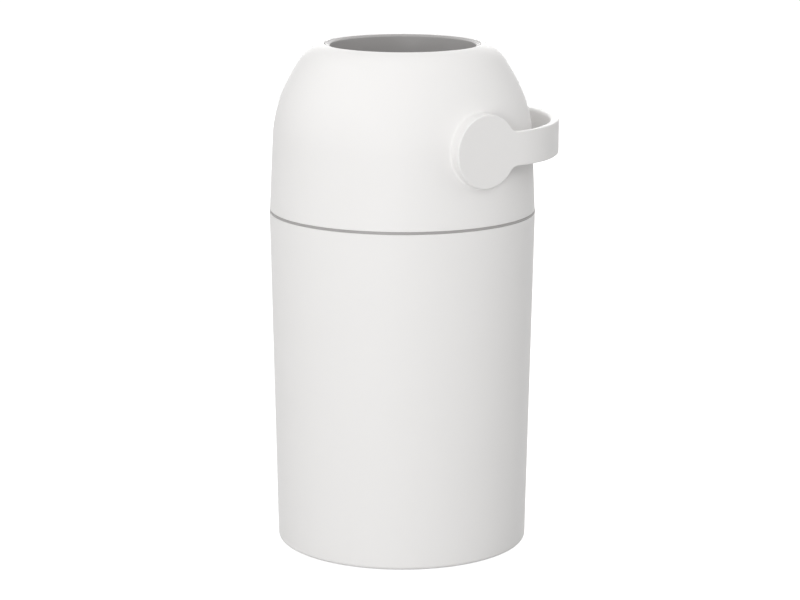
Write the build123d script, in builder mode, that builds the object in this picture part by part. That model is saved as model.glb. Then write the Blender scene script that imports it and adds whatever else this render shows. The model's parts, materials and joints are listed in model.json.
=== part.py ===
from build123d import *
import os
from math import atan2, cos, degrees, radians, sin, sqrt, tan

# Nappy bin: a tapered bin, a bag ring on its edge, and a domed head that lifts off.  In the
# head a ball-shaped rotor turns with the handle.  A chamber runs through the rotor, and a heavy
# piston slides in it, so half a turn of the handle drops what lies in the chamber into the bin.
#
# Millimetres, +Z up.  The origin is the middle of the foot on the floor.  The handle's pivot
# runs along X, and the handle lies level at the back, towards +Y.

os.makedirs("parts", exist_ok=True)

# ---- Clearances ------------------------------------------------------------------------------
running_gap = 0.05          # turning shaft in its bush, on the radius
press_gap = 0.02            # a piece pressed, bonded or screwed into another, on the radius
passing_gap = 0.3           # faces that pass each other without touching
wall_gap = 0.5              # loose ring inside a shell's wall

# ---- Bin body --------------------------------------------------------------------------------
bin_top_radius = 149.15
bin_taper = 7.65            # the base is smaller than the top by this much, on the radius
bin_top = 379.0             # height of the bin's top edge
shell_wall = 2.8
floor_top = 9.0
floor_thickness = 3.0
bin_bottom = 0.8            # the bin's rim above the ground, on its foot ring
bin_base_round = 4.5
bin_inner_round = 8.0
edge_round = 0.8            # outer edges beside the seam
rim_width = 22.0            # flat rim round the raised floor
foot_width = 8.6
foot_inset = 9.4            # from the bin's base radius to the foot ring
foot_depth = 2.2            # depth of the groove that holds the foot ring
foot_chamfer = 0.5

# ---- Bag ring --------------------------------------------------------------------------------
band_inset = 0.1            # from the bin's top radius to the band's
band_height = 2.8
band_round = 0.6
bag_ring_width = 9.1
skirt_depth = 24.0
skirt_wall = 2.8
lip_wall = 2.5

# ---- Dome cover ------------------------------------------------------------------------------
dome_foot_inset = 0.45      # from the bin's top radius to the dome's foot
side_stop = 1.0             # the straight side ends this much under the pivot
side_lean = 2.45            # degrees from upright
shoulder_radius = 146.7
shoulder_lean = 26.1        # lean where the shoulder ends
crown_radius = 247.5
crown_lean = 34.1
brow_radius = 37.7
brow_lean = 88.0
mouth_land = 3.8            # from the brow's end out to the hole for the collar
mouth_lip_wall = 2.8
mouth_round = 0.9

# ---- Pivot, its boss and its bushes ----------------------------------------------------------
pivot_rise = 82.6           # pivot above the dome's foot
boss_height = 0.8           # over the dome's side at the boss's lower edge, where it is least
boss_root_round = 0.45
boss_edge_round = 0.25
bush_bore = 14.0
bush_wall = 2.5
bush_flange_radius = 21.0
bush_flange = 2.0
hub_tube_wall = 5.0         # dome's tube round a bush
stop_width = 8.5            # stop arc, out from the hub tube
stop_gap = 0.3              # lug to stop arc at either end of the turn

# ---- Handle ----------------------------------------------------------------------------------
disc_radius = 40.6
disc_thickness = 4.6
disc_gap = 0.3              # between the boss's face and the disc
handle_stand_off = 30.6     # from the dome's foot radius to the outside of the strap
strap_height = 38.0
strap_end_thickness = 12.5
strap_run = 3.9             # straight run of the strap past the disc
strap_corner = 112.0        # outer radius where the strap starts to turn
strap_inner_corner = 85.0   # and the radius of its inner face there
strap_root_round = 12.0     # where the strap meets the disc
handle_round = 1.5

# ---- Rotor and its chamber -------------------------------------------------------------------
chamber_inset = 3.0         # from the collar's bore to the chamber's
chamber_wall = 3.0
rotor_depth = 36.0          # from the chamber's bore to the ball's surface
rotor_flat_drop = 20.0      # flat front and back, in from the ball's surface
rotor_wall = 3.0
rim_drop = 0.2              # chamber's edge below the ball's surface
rim_lip = 4.0               # end rings stand into the chamber by this much
rim_height = 3.0
web_height = 57.5           # middle of the rotor's level webs, from the pivot
tube_flange = 3.0
tube_flange_height = 2.0
hub_radius = 30.0
hub_stand_out = 6.0         # the hubs' faces stand out from the ball
hub_length = 20.0
lug_inner = 23.5
lug_outer = 29.0
lug_half_width = 4.0
lug_length = 7.0
joint_screw_inset = 13.0    # screws that join the rotor's halves, outside the chamber's tube
joint_screw_height = 38.0
joint_column_radius = 6.0
joint_head_tunnel = 4.2
joint_seat = 14.0           # screw head's seat, in front of the split

# ---- Pivot shafts ----------------------------------------------------------------------------
shaft_flange_side = 36.0
shaft_flange_inset = 14.0   # from the hub's face to the flange's inner face
shaft_flange = 4.0
shaft_flange_corner = 4.0
shaft_bore = 9.0
shaft_end_wall = 4.0        # between the shaft's bore and the socket in its outer end
stub_side = 16.0            # square stub of the handle's disc, in the shaft's socket
stub_length = 9.0
access_radius = 10.0

# ---- Mouth collar and seals ------------------------------------------------------------------
collar_width = 8.0          # from the dome's hole to the collar's bore
collar_wall = 3.2
collar_clear = 1.3          # collar's lower edge to the ball, along the radius
collar_rim_drop = 0.7       # collar's outer rim below the dome's crown
collar_fall = 3.0           # fall of the sloping lip
collar_lip = 3.5
collar_lip_round = 1.5
collar_fit = 0.3            # collar in the dome's hole, on the radius
collar_flange_drop = 7.6    # top of the flange below the dome's crown
collar_flange = 3.0
collar_flange_width = 15.3
seal_width = 7.0
seal_grip = 7.0             # height of the seal on the collar's wall
seal_recess = 0.3

# ---- Lower housing and gasket ----------------------------------------------------------------
housing_drop = 67.0         # underside of its flange below the pivot
housing_plate = 3.0
housing_cone_width = 42.8   # from the throat's wall to the flange
housing_cone_drop = 28.0
housing_cone_plate = 3.3    # measured upright
throat_depth = 36.0         # lower end of the throat below the flange
housing_boss_inset = 13.6   # from the dome's foot radius to the screw bosses
housing_boss_length = 24.0
housing_boss_radius = 4.5
housing_boss_count = 6
housing_rib = 3.0
gasket_width = 4.8
gasket_height = 4.0

# ---- Screws ----------------------------------------------------------------------------------
small_thread = 1.5          # thread radius of the collar, housing, rotor and piston screws
small_head = 2.8
small_head_height = 2.0
handle_thread = 2.0
handle_head = 4.2
handle_head_height = 2.6
handle_bite = 7.0           # thread in the handle's stub
collar_screw_offset = 5.0   # screws outside the dome's hole
collar_screw_count = 4
collar_boss_radius = 4.5
collar_boss_length = 4.0
collar_bite = 3.8
housing_bite = 11.0
joint_bite = 10.0

# ---- Piston ----------------------------------------------------------------------------------
piston_gap = 0.8            # between the piston and the chamber
piston_height = 36.0
piston_plate = 3.0
piston_cap_plate = 4.0
piston_wall = 5.7
wiper_height = 3.2
wiper_depth = 2.5
wiper_offset = 6.0          # from the piston's faces to its wipers
piston_chamfer = 1.0
weight_share = 0.6          # of the piston's radius
weight_height = 10.0
weight_bore = 10.0
post_radius = 15.0
post_wall = 3.0
piston_screw_inset = 17.2   # from the piston's surface to its screws
piston_screw_count = 4
piston_boss_radius = 5.0
piston_bite = 8.0

# ---- Sizes that follow -----------------------------------------------------------------------
bin_base_radius = bin_top_radius - bin_taper
band_radius = bin_top_radius - band_inset
bag_ring_bore = band_radius - bag_ring_width
dome_foot = bin_top + band_height
dome_foot_radius = bin_top_radius - dome_foot_inset
pivot_height = dome_foot + pivot_rise
side_top = pivot_height - side_stop
side_top_radius = dome_foot_radius - (side_top - dome_foot) * tan(radians(side_lean))
shoulder_in = shoulder_radius * (cos(radians(side_lean)) - cos(radians(shoulder_lean)))
crown_in = crown_radius * (cos(radians(shoulder_lean)) - cos(radians(crown_lean)))
brow_in = brow_radius * (cos(radians(crown_lean)) - cos(radians(brow_lean)))
mouth_radius = side_top_radius - shoulder_in - crown_in - brow_in + mouth_land
boss_side = dome_foot_radius - (pivot_height - disc_radius - dome_foot) * tan(radians(side_lean))
boss_face = boss_side + boss_height
collar_bore = mouth_radius - collar_width
chamber_radius = collar_bore - chamber_inset
rotor_radius = chamber_radius + rotor_depth
rotor_flat = rotor_radius - rotor_flat_drop
hub_outer = rotor_radius + hub_stand_out
hub_inner = hub_outer - hub_length
bush_outer = bush_bore + bush_wall
hub_tube_radius = bush_outer + hub_tube_wall
stop_outer = hub_tube_radius + stop_width
bush_start = hub_outer + passing_gap
hub_tube_start = bush_start + bush_flange
boss_inside = boss_face - shell_wall
handle_inside = boss_face + disc_gap
handle_side = handle_inside + disc_thickness
handle_reach = dome_foot_radius + handle_stand_off
strap_straight = disc_radius + strap_run
shaft_radius = bush_bore - running_gap
stub_end = handle_inside - stub_length
shaft_seat = stub_end - shaft_end_wall
chamber_outer = chamber_radius + chamber_wall
joint_screw_x = chamber_outer + joint_screw_inset
shaft_flange_start = hub_outer - shaft_flange_inset
chamber_half = sqrt(rotor_radius**2 - chamber_outer**2) - rim_drop
collar_outer = collar_bore + collar_wall
seal_ball = rotor_radius + passing_gap
seal_outer = collar_bore + seal_width
collar_screw_circle = mouth_radius + collar_screw_offset
collar_bottom = pivot_height + sqrt((rotor_radius + collar_clear) ** 2 - collar_bore**2)
throat_top = 2 * pivot_height - collar_bottom
housing_bottom = pivot_height - housing_drop
housing_top = housing_bottom + housing_plate
housing_cone_outer = collar_outer + housing_cone_width
housing_boss_circle = dome_foot_radius - housing_boss_inset
throat_bottom = housing_bottom - throat_depth
piston_radius = chamber_radius - piston_gap
piston_bottom = pivot_height - chamber_half + rim_height
piston_top = piston_bottom + piston_height
piston_screw_circle = piston_radius - piston_screw_inset
wiper_radius = chamber_radius - passing_gap
weight_radius = weight_share * piston_radius
piston_bore = piston_radius - piston_wall
foot_outer = bin_base_radius - foot_inset
foot_inner = foot_outer - foot_width
foot_top = bin_bottom + foot_depth


def bin_radius(height):
    """Outer radius of the tapered bin at a height."""
    share = (height - bin_bottom) / (bin_top - bin_bottom)
    return bin_base_radius + share * (bin_top_radius - bin_base_radius)


def dome_bore(height):
    """Inner radius of the dome's straight side at a height."""
    lean = radians(side_lean)
    outer = dome_foot_radius - (height - dome_foot) * tan(lean)
    return outer - shell_wall / cos(lean)


def ball_height(radius, ball):
    """Height over the pivot of a ball's surface at a radius from the upright axis."""
    return sqrt(ball**2 - radius**2)


def section(*points):
    """Straight-sided face of (radius, height) points, to be turned about the Z axis."""
    with BuildSketch(Plane.XZ) as face:
        with BuildLine():
            Polyline(*points, close=True)
        make_face()
    return face.sketch


def ring_section(inner, outer, low, high):
    """Section of a plain ring about the Z axis."""
    return section((inner, low), (outer, low), (outer, high), (inner, high))


def pivot_cylinder(radius, start, end, mode=Mode.ADD):
    """Cylinder along the pivot from x = start to x = end."""
    with Locations(((start + end) / 2, 0, pivot_height)):
        Cylinder(radius, abs(end - start), rotation=(0, 90, 0), mode=mode)


def pivot_block(side, start, end, mode=Mode.ADD):
    """Square bar along the pivot from x = start to x = end."""
    with Locations(((start + end) / 2, 0, pivot_height)):
        Box(abs(end - start), side, side, mode=mode)


def upright_screw(seat, reach, thread, head, head_height):
    """Screw driven upwards: its head hangs under the seat and its shank goes up by the reach."""
    with BuildPart() as screw:
        with Locations((0, 0, seat)):
            Cylinder(thread, reach, align=(Align.CENTER, Align.CENTER, Align.MIN))
            Cylinder(head, head_height, align=(Align.CENTER, Align.CENTER, Align.MAX))
        chamfer(screw.edges().group_by(Axis.Z)[0], head_height / 5)
    return screw.part


def save(piece, name):
    """Label a finished piece and write it under its name."""
    piece.label = name
    export_step(piece, f"parts/{name}.step")


# ---- Bin body and its foot -------------------------------------------------------------------
rim_inner = bin_base_radius - rim_width
floor_radius = bin_radius(floor_top) - shell_wall

with BuildPart() as bin_body:
    with BuildSketch(Plane.XZ):
        with BuildLine():
            FilletPolyline(
                (0, floor_top - floor_thickness),
                (rim_inner, floor_top - floor_thickness),
                (rim_inner, bin_bottom),
                (bin_base_radius, bin_bottom),
                (bin_top_radius, bin_top),
                (bin_top_radius - shell_wall, bin_top),
                (floor_radius, floor_top),
                (0, floor_top),
                radius=[0, 0, 0, bin_base_round, edge_round, 0, bin_inner_round, 0],
                close=True,
            )
        make_face()
    revolve(axis=Axis.Z)
    revolve(
        ring_section(foot_inner - press_gap, foot_outer + press_gap, 0, foot_top),
        axis=Axis.Z,
        mode=Mode.SUBTRACT,
    )
save(bin_body.part, "bin_body")

with BuildPart() as foot_ring:
    revolve(ring_section(foot_inner, foot_outer, 0, foot_top), axis=Axis.Z)
    chamfer(foot_ring.edges().group_by(Axis.Z)[0], foot_chamfer)
save(foot_ring.part, "foot_ring")

# ---- Bag ring: the grey band at the seam, with a skirt in the bin and a lip in the dome --------
skirt_bottom = bin_top - skirt_depth
skirt_outer = bin_radius(skirt_bottom) - shell_wall - wall_gap
lip_top = housing_bottom - gasket_height - passing_gap
lip_outer = dome_bore(lip_top) - wall_gap

with BuildPart() as bag_ring:
    revolve(ring_section(bag_ring_bore, band_radius, bin_top, dome_foot), axis=Axis.Z)
    fillet(bag_ring.edges().filter_by(GeomType.CIRCLE).sort_by(SortBy.RADIUS)[-2:], band_round)
    revolve(
        ring_section(skirt_outer - skirt_wall, skirt_outer, skirt_bottom, bin_top), axis=Axis.Z
    )
    revolve(ring_section(lip_outer - lip_wall, lip_outer, dome_foot, lip_top), axis=Axis.Z)
save(bag_ring.part, "bag_ring")


# ---- Dome cover ------------------------------------------------------------------------------
def dome_section(inset):
    """Solid section of the dome, drawn this far inside its outer surface."""
    lean = radians(side_lean)
    foot = (dome_foot_radius - inset / cos(lean), dome_foot)
    shoulder_start = (side_top_radius - inset * cos(lean), side_top - inset * sin(lean))
    with BuildSketch(Plane.XZ) as face:
        with BuildLine():
            side = Line(foot, shoulder_start)
            shoulder = JernArc(
                side @ 1, side % 1, shoulder_radius - inset, shoulder_lean - side_lean
            )
            crown = JernArc(
                shoulder @ 1, shoulder % 1, crown_radius - inset, crown_lean - shoulder_lean
            )
            brow = JernArc(crown @ 1, crown % 1, brow_radius - inset, brow_lean - crown_lean)
            Polyline(brow @ 1, (0, (brow @ 1).Y), (0, dome_foot), foot)
        make_face()
    return face.sketch


def dome_hub(side):
    """Hub tube and stop arc on one side of the dome, drawn in to the boss's face."""
    with BuildSketch(Plane.YZ.offset(side * hub_tube_start)) as face:
        with Locations((0, pivot_height)):
            Circle(stop_outer)
            Circle(hub_tube_radius, mode=Mode.SUBTRACT)
        with Locations((0, pivot_height - lug_half_width - stop_gap)):
            Rectangle(
                2 * stop_outer,
                2 * stop_outer,
                align=(Align.CENTER, Align.MIN),
                mode=Mode.SUBTRACT,
            )
        with Locations((0, pivot_height)):
            Circle(hub_tube_radius)
    extrude(face.sketch, amount=side * (boss_inside - hub_tube_start))


dome_crown = dome_section(0).bounding_box().max.Z
collar_flange_top = dome_crown - collar_flange_drop
rib_length = dome_bore(housing_top) + shell_wall / 3 - housing_boss_circle
upwards = (Align.CENTER, Align.CENTER, Align.MIN)

with BuildPart() as dome_cover:
    revolve(dome_section(0), axis=Axis.Z)
    fillet(dome_cover.edges().group_by(Axis.Z)[0], edge_round)
    for side in (-1, 1):
        pivot_cylinder(disc_radius, side * rotor_radius, side * boss_face)
        new_edges = dome_cover.edges(Select.NEW)
        fillet(new_edges.filter_by(GeomType.BSPLINE), boss_root_round)
        boss_faces = dome_cover.faces().filter_by(Axis.X).sort_by(Axis.X)
        fillet(boss_faces[0 if side < 0 else -1].edges(), boss_edge_round)
    revolve(dome_section(shell_wall), axis=Axis.Z, mode=Mode.SUBTRACT)
    revolve(
        ring_section(
            mouth_radius,
            mouth_radius + mouth_lip_wall,
            collar_flange_top,
            collar_flange_top + collar_boss_length,
        ),
        axis=Axis.Z,
    )
    with Locations((0, 0, collar_flange_top)):
        with PolarLocations(collar_screw_circle, collar_screw_count, start_angle=45):
            Cylinder(collar_boss_radius, collar_boss_length, align=upwards)
            Cylinder(
                small_thread + press_gap,
                collar_bite + passing_gap,
                align=upwards,
                mode=Mode.SUBTRACT,
            )
        Cylinder(mouth_radius, dome_crown, align=upwards, mode=Mode.SUBTRACT)
    mouth_edges = dome_cover.edges().filter_by(GeomType.CIRCLE).group_by(Axis.Z)[-1]
    fillet(mouth_edges.sort_by(SortBy.RADIUS)[0], mouth_round)
    for side in (-1, 1):
        pivot_cylinder(
            disc_radius - shell_wall, side * rotor_radius, side * boss_inside, mode=Mode.SUBTRACT
        )
        dome_hub(side)
        pivot_cylinder(
            bush_outer + press_gap, side * hub_tube_start, side * boss_face, mode=Mode.SUBTRACT
        )
    with Locations((0, 0, housing_top)):
        with PolarLocations(housing_boss_circle, housing_boss_count, start_angle=30):
            Cylinder(housing_boss_radius, housing_boss_length, align=upwards)
            Box(
                rib_length,
                housing_rib,
                housing_boss_length,
                align=(Align.MIN, Align.CENTER, Align.MIN),
            )
            Cylinder(
                small_thread + press_gap,
                housing_bite + passing_gap,
                align=upwards,
                mode=Mode.SUBTRACT,
            )
save(dome_cover.part, "dome_cover")

for name, side in (("pivot_bush_left", -1), ("pivot_bush_right", 1)):
    with BuildPart() as pivot_bush:
        pivot_cylinder(bush_flange_radius, side * bush_start, side * hub_tube_start)
        pivot_cylinder(bush_outer, side * hub_tube_start, side * boss_face)
        pivot_cylinder(bush_bore, side * bush_start, side * boss_face, mode=Mode.SUBTRACT)
    save(pivot_bush.part, name)

# ---- Mouth collar and the seal under it -------------------------------------------------------
collar_rim = dome_crown - collar_rim_drop
collar_rim_radius = mouth_radius - collar_fit
lip_fall = collar_fall * (collar_rim_radius - collar_outer) / (collar_rim_radius - collar_bore)
collar_flange_bottom = collar_flange_top - collar_flange
collar_flange_radius = collar_outer + collar_flange_width

with BuildPart() as mouth_collar:
    with BuildSketch(Plane.XZ):
        with BuildLine():
            FilletPolyline(
                (collar_bore, collar_bottom),
                (collar_bore, collar_rim - collar_fall),
                (collar_rim_radius, collar_rim),
                (collar_rim_radius, collar_rim - collar_lip),
                (collar_outer, collar_rim - collar_lip - lip_fall),
                (collar_outer, collar_flange_top),
                (collar_flange_radius, collar_flange_top),
                (collar_flange_radius, collar_flange_bottom),
                (collar_outer, collar_flange_bottom),
                (collar_outer, collar_bottom),
                radius=[0, collar_lip_round, band_round, 0, 0, 0, 0, 0, 0, 0],
                close=True,
            )
        make_face()
    revolve(axis=Axis.Z)
    with Locations((0, 0, collar_flange_bottom)):
        with PolarLocations(collar_screw_circle, collar_screw_count, start_angle=45):
            Cylinder(
                small_thread + press_gap, collar_flange, align=upwards, mode=Mode.SUBTRACT
            )
save(mouth_collar.part, "mouth_collar")

collar_screw = upright_screw(
    collar_flange_bottom, collar_flange + collar_bite, small_thread, small_head, small_head_height
)
with BuildPart() as collar_screws:
    with PolarLocations(collar_screw_circle, collar_screw_count, start_angle=45):
        add(collar_screw)
save(collar_screws.part, "collar_screws")

seal_inner = collar_bore + seal_recess
seal_middle = (seal_inner + seal_outer) / 2
seal_grip_radius = collar_outer + press_gap
seal_top = collar_bottom + seal_grip

with BuildPart() as upper_seal:
    with BuildSketch(Plane.XZ):
        with BuildLine():
            inner_edge = (seal_inner, pivot_height + ball_height(seal_inner, seal_ball))
            middle = (seal_middle, pivot_height + ball_height(seal_middle, seal_ball))
            outer_edge = (seal_outer, pivot_height + ball_height(seal_outer, seal_ball))
            ThreePointArc(inner_edge, middle, outer_edge)
            Polyline(
                outer_edge,
                (seal_outer, seal_top),
                (seal_grip_radius, seal_top),
                (seal_grip_radius, collar_bottom),
                (seal_inner, collar_bottom),
                inner_edge,
            )
        make_face()
    revolve(axis=Axis.Z)
save(upper_seal.part, "upper_seal")

# ---- Lower housing, its seal, its screws and the lid gasket -----------------------------------
housing_outer = dome_bore(housing_top) - wall_gap
cone_start = housing_bottom - housing_cone_drop
cone_slope = housing_cone_drop / (housing_cone_outer - collar_outer)
cone_top_outer = housing_cone_outer - (housing_cone_plate - housing_plate) / cone_slope

with BuildPart() as lower_housing:
    revolve(
        section(
            (collar_bore, throat_bottom),
            (collar_outer, throat_bottom),
            (collar_outer, cone_start),
            (housing_cone_outer, housing_bottom),
            (housing_outer, housing_bottom),
            (housing_outer, housing_top),
            (cone_top_outer, housing_top),
            (collar_outer, cone_start + housing_cone_plate),
            (collar_outer, throat_top),
            (collar_bore, throat_top),
        ),
        axis=Axis.Z,
    )
    with Locations((0, 0, housing_bottom)):
        with PolarLocations(housing_boss_circle, housing_boss_count, start_angle=30):
            Cylinder(
                small_thread + press_gap, housing_plate, align=upwards, mode=Mode.SUBTRACT
            )
save(lower_housing.part, "lower_housing")

with BuildPart() as lower_seal:
    mirror(upper_seal.part, about=Plane.XY.offset(pivot_height))
save(lower_seal.part, "lower_seal")

housing_screw = upright_screw(
    housing_bottom, housing_plate + housing_bite, small_thread, small_head, small_head_height
)
with BuildPart() as housing_screws:
    with PolarLocations(housing_boss_circle, housing_boss_count, start_angle=30):
        add(housing_screw)
save(housing_screws.part, "housing_screws")

with BuildPart() as lid_gasket:
    revolve(
        ring_section(
            housing_outer - gasket_width,
            housing_outer,
            housing_bottom - gasket_height,
            housing_bottom,
        ),
        axis=Axis.Z,
    )
save(lid_gasket.part, "lid_gasket")


# ---- Handle ----------------------------------------------------------------------------------
def strap_plan(side_x, reach, corner):
    """Area inside a strap outline: straight sides, corner arcs and one end arc, all tangent."""
    centre = side_x - corner
    run = reach - strap_straight
    end_radius = (centre**2 + run**2 - corner**2) / (2 * (run - corner))
    turn = degrees(atan2(strap_straight - reach + end_radius, centre))
    with BuildSketch(Plane.XY.offset(pivot_height - strap_height / 2)) as plan:
        with BuildLine():
            first_side = Line((side_x, 0), (side_x, strap_straight))
            first_corner = JernArc(first_side @ 1, first_side % 1, corner, turn)
            end = JernArc(first_corner @ 1, first_corner % 1, end_radius, 180 - 2 * turn)
            last_corner = JernArc(end @ 1, end % 1, corner, turn)
            Polyline(last_corner @ 1, (-side_x, 0), (side_x, 0))
        make_face()
    return plan.sketch


with BuildPart() as handle:
    extrude(strap_plan(handle_side, handle_reach, strap_corner), amount=strap_height)
    extrude(
        strap_plan(handle_inside, handle_reach - strap_end_thickness, strap_inner_corner),
        amount=strap_height,
        mode=Mode.SUBTRACT,
    )
    for side in (-1, 1):
        pivot_cylinder(disc_radius, side * handle_inside, side * handle_side)
    root_edges = handle.edges().filter_by(Axis.X)
    fillet(root_edges.filter_by(lambda edge: edge.center().Y > running_gap), strap_root_round)
    sharp_edges = handle.edges().filter_by(Axis.X, reverse=True).filter_by(Axis.Z, reverse=True)
    fillet(sharp_edges, handle_round)
    for side in (-1, 1):
        pivot_block(stub_side, side * stub_end, side * handle_inside)
        pivot_cylinder(
            handle_thread + press_gap,
            side * stub_end,
            side * (stub_end + handle_bite + passing_gap),
            mode=Mode.SUBTRACT,
        )
save(handle.part, "handle")

# ---- Pivot shafts and the screws that hold the handle on them ---------------------------------
shaft_flange_end = shaft_flange_start + shaft_flange

for name, side in (("pivot_shaft_left", -1), ("pivot_shaft_right", 1)):
    with BuildPart() as pivot_shaft:
        pivot_block(shaft_flange_side, side * shaft_flange_start, side * shaft_flange_end)
        fillet(pivot_shaft.edges().filter_by(Axis.X), shaft_flange_corner)
        pivot_cylinder(shaft_radius, side * shaft_flange_end, side * handle_inside)
        pivot_block(
            stub_side + 2 * press_gap, side * stub_end, side * handle_inside, mode=Mode.SUBTRACT
        )
        pivot_cylinder(
            shaft_bore, side * shaft_flange_start, side * shaft_seat, mode=Mode.SUBTRACT
        )
        pivot_cylinder(
            handle_thread + press_gap, side * shaft_seat, side * stub_end, mode=Mode.SUBTRACT
        )
    save(pivot_shaft.part, name)

handle_screw = upright_screw(
    0, stub_end + handle_bite - shaft_seat, handle_thread, handle_head, handle_head_height
)
with BuildPart() as handle_screws:
    with Locations(
        Location((shaft_seat, 0, pivot_height), (0, 90, 0)),
        Location((-shaft_seat, 0, pivot_height), (0, -90, 0)),
    ):
        add(handle_screw)
save(handle_screws.part, "handle_screws")

# ---- Rotor: two halves screwed together round the chamber tube and the shafts' flanges --------
joint_points = [
    (x, pivot_height + height)
    for x in (-joint_screw_x, joint_screw_x)
    for height in (-joint_screw_height, joint_screw_height)
]


def turned_ball(radius, flat):
    """Ball round the pivot with a flat front and back, turned about its level Y axis."""
    rim = sqrt(radius**2 - flat**2)
    with BuildSketch(Plane.XY.offset(pivot_height)) as face:
        with BuildLine():
            ThreePointArc((rim, -flat), (radius, 0), (rim, flat))
            Polyline((rim, flat), (0, flat), (0, -flat), (rim, -flat))
        make_face()
    revolve(face.sketch, axis=Axis((0, 0, pivot_height), (0, 1, 0)))


with BuildPart() as rotor_hollow:
    turned_ball(rotor_radius - rotor_wall, rotor_flat - rotor_wall)
    with Locations((0, 0, pivot_height - web_height), (0, 0, pivot_height + web_height)):
        Cylinder(rotor_radius, rotor_wall, mode=Mode.SUBTRACT)
    for side in (-1, 1):
        pivot_cylinder(hub_radius, side * hub_inner, side * hub_outer, mode=Mode.SUBTRACT)
    with Locations(*[(x, 0, height) for x, height in joint_points]):
        Cylinder(
            joint_column_radius, 2 * rotor_radius, rotation=(90, 0, 0), mode=Mode.SUBTRACT
        )

with BuildPart() as rotor_shell:
    turned_ball(rotor_radius, rotor_flat)
    for side in (-1, 1):
        pivot_cylinder(hub_radius, side * hub_inner, side * hub_outer)
    add(rotor_hollow.part, mode=Mode.SUBTRACT)
    with Locations((0, 0, pivot_height)):
        Cylinder(chamber_outer + press_gap, 2 * rotor_radius, mode=Mode.SUBTRACT)
    for side in (-1, 1):
        pivot_cylinder(
            access_radius, side * hub_inner, side * shaft_flange_start, mode=Mode.SUBTRACT
        )
        pivot_block(
            shaft_flange_side + 2 * press_gap,
            side * shaft_flange_start,
            side * shaft_flange_end,
            mode=Mode.SUBTRACT,
        )
        pivot_cylinder(
            shaft_radius + press_gap,
            side * shaft_flange_end,
            side * hub_outer,
            mode=Mode.SUBTRACT,
        )

with BuildPart() as rotor_half_front:
    add(rotor_shell.part)
    split(bisect_by=Plane.XZ, keep=Keep.TOP)
    with Locations(*[Location((x, 0, height), (90, 0, 0)) for x, height in joint_points]):
        Cylinder(small_thread + press_gap, joint_seat, align=upwards, mode=Mode.SUBTRACT)
    with Locations(
        *[Location((x, -joint_seat, height), (90, 0, 0)) for x, height in joint_points]
    ):
        Cylinder(joint_head_tunnel, rotor_radius, align=upwards, mode=Mode.SUBTRACT)
save(rotor_half_front.part, "rotor_half_front")

with BuildPart() as rotor_half_rear:
    add(rotor_shell.part)
    split(bisect_by=Plane.XZ, keep=Keep.BOTTOM)
    with Locations(*[Location((x, 0, height), (-90, 0, 0)) for x, height in joint_points]):
        Cylinder(
            small_thread + press_gap,
            joint_bite + passing_gap,
            align=upwards,
            mode=Mode.SUBTRACT,
        )
    for side in (-1, 1):
        with Locations(
            (
                side * (hub_outer + lug_length / 2),
                (lug_inner + lug_outer) / 2,
                pivot_height,
            )
        ):
            Box(lug_length, lug_outer - lug_inner, 2 * lug_half_width)
save(rotor_half_rear.part, "rotor_half_rear")

rotor_screw = upright_screw(
    0, joint_seat + joint_bite, small_thread, small_head, small_head_height
)
with BuildPart() as rotor_screws:
    with Locations(
        *[Location((x, -joint_seat, height), (-90, 0, 0)) for x, height in joint_points]
    ):
        add(rotor_screw)
save(rotor_screws.part, "rotor_screws")

# ---- Chamber tube and the end rings that stop the piston --------------------------------------
chamber_top = pivot_height + chamber_half
chamber_bottom = pivot_height - chamber_half
flange_start = web_height + rotor_wall / 2

with BuildPart() as chamber_tube:
    revolve(
        ring_section(chamber_radius, chamber_outer, chamber_bottom, chamber_top), axis=Axis.Z
    )
    for low in (pivot_height + flange_start, pivot_height - flange_start - tube_flange_height):
        revolve(
            ring_section(
                chamber_radius, chamber_outer + tube_flange, low, low + tube_flange_height
            ),
            axis=Axis.Z,
        )
save(chamber_tube.part, "chamber_tube")

for name, low in (
    ("chamber_ring_lower", chamber_bottom),
    ("chamber_ring_upper", chamber_top - rim_height),
):
    with BuildPart() as chamber_ring:
        revolve(
            ring_section(
                chamber_radius - rim_lip, chamber_radius - press_gap, low, low + rim_height
            ),
            axis=Axis.Z,
        )
    save(chamber_ring.part, name)

# ---- Piston ----------------------------------------------------------------------------------
cup_floor = piston_bottom + piston_plate
cup_top = piston_top - piston_cap_plate
weight_top = cup_floor + weight_height
wiper_bore = piston_radius - wiper_depth
wiper_lows = (piston_bottom + wiper_offset, piston_top - wiper_offset - wiper_height)

with BuildPart() as piston_body:
    revolve(
        section(
            (0, piston_bottom),
            (piston_radius, piston_bottom),
            (piston_radius, cup_top),
            (piston_bore, cup_top),
            (piston_bore, cup_floor),
            (0, cup_floor),
        ),
        axis=Axis.Z,
    )
    chamfer(piston_body.edges().group_by(Axis.Z)[0], piston_chamfer)
    for low in wiper_lows:
        revolve(
            ring_section(wiper_bore, wiper_radius, low, low + wiper_height),
            axis=Axis.Z,
            mode=Mode.SUBTRACT,
        )
    with Locations((0, 0, cup_floor)):
        Cylinder(weight_bore - press_gap, weight_height, align=upwards)
        with PolarLocations(piston_screw_circle, piston_screw_count):
            Cylinder(piston_boss_radius, cup_top - cup_floor, align=upwards)
    with Locations((0, 0, cup_top)):
        with PolarLocations(piston_screw_circle, piston_screw_count):
            Cylinder(
                small_thread + press_gap,
                piston_bite + passing_gap,
                align=(Align.CENTER, Align.CENTER, Align.MAX),
                mode=Mode.SUBTRACT,
            )
save(piston_body.part, "piston_body")

with BuildPart() as piston_weight:
    revolve(ring_section(weight_bore, weight_radius, cup_floor, weight_top), axis=Axis.Z)
save(piston_weight.part, "piston_weight")

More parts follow.
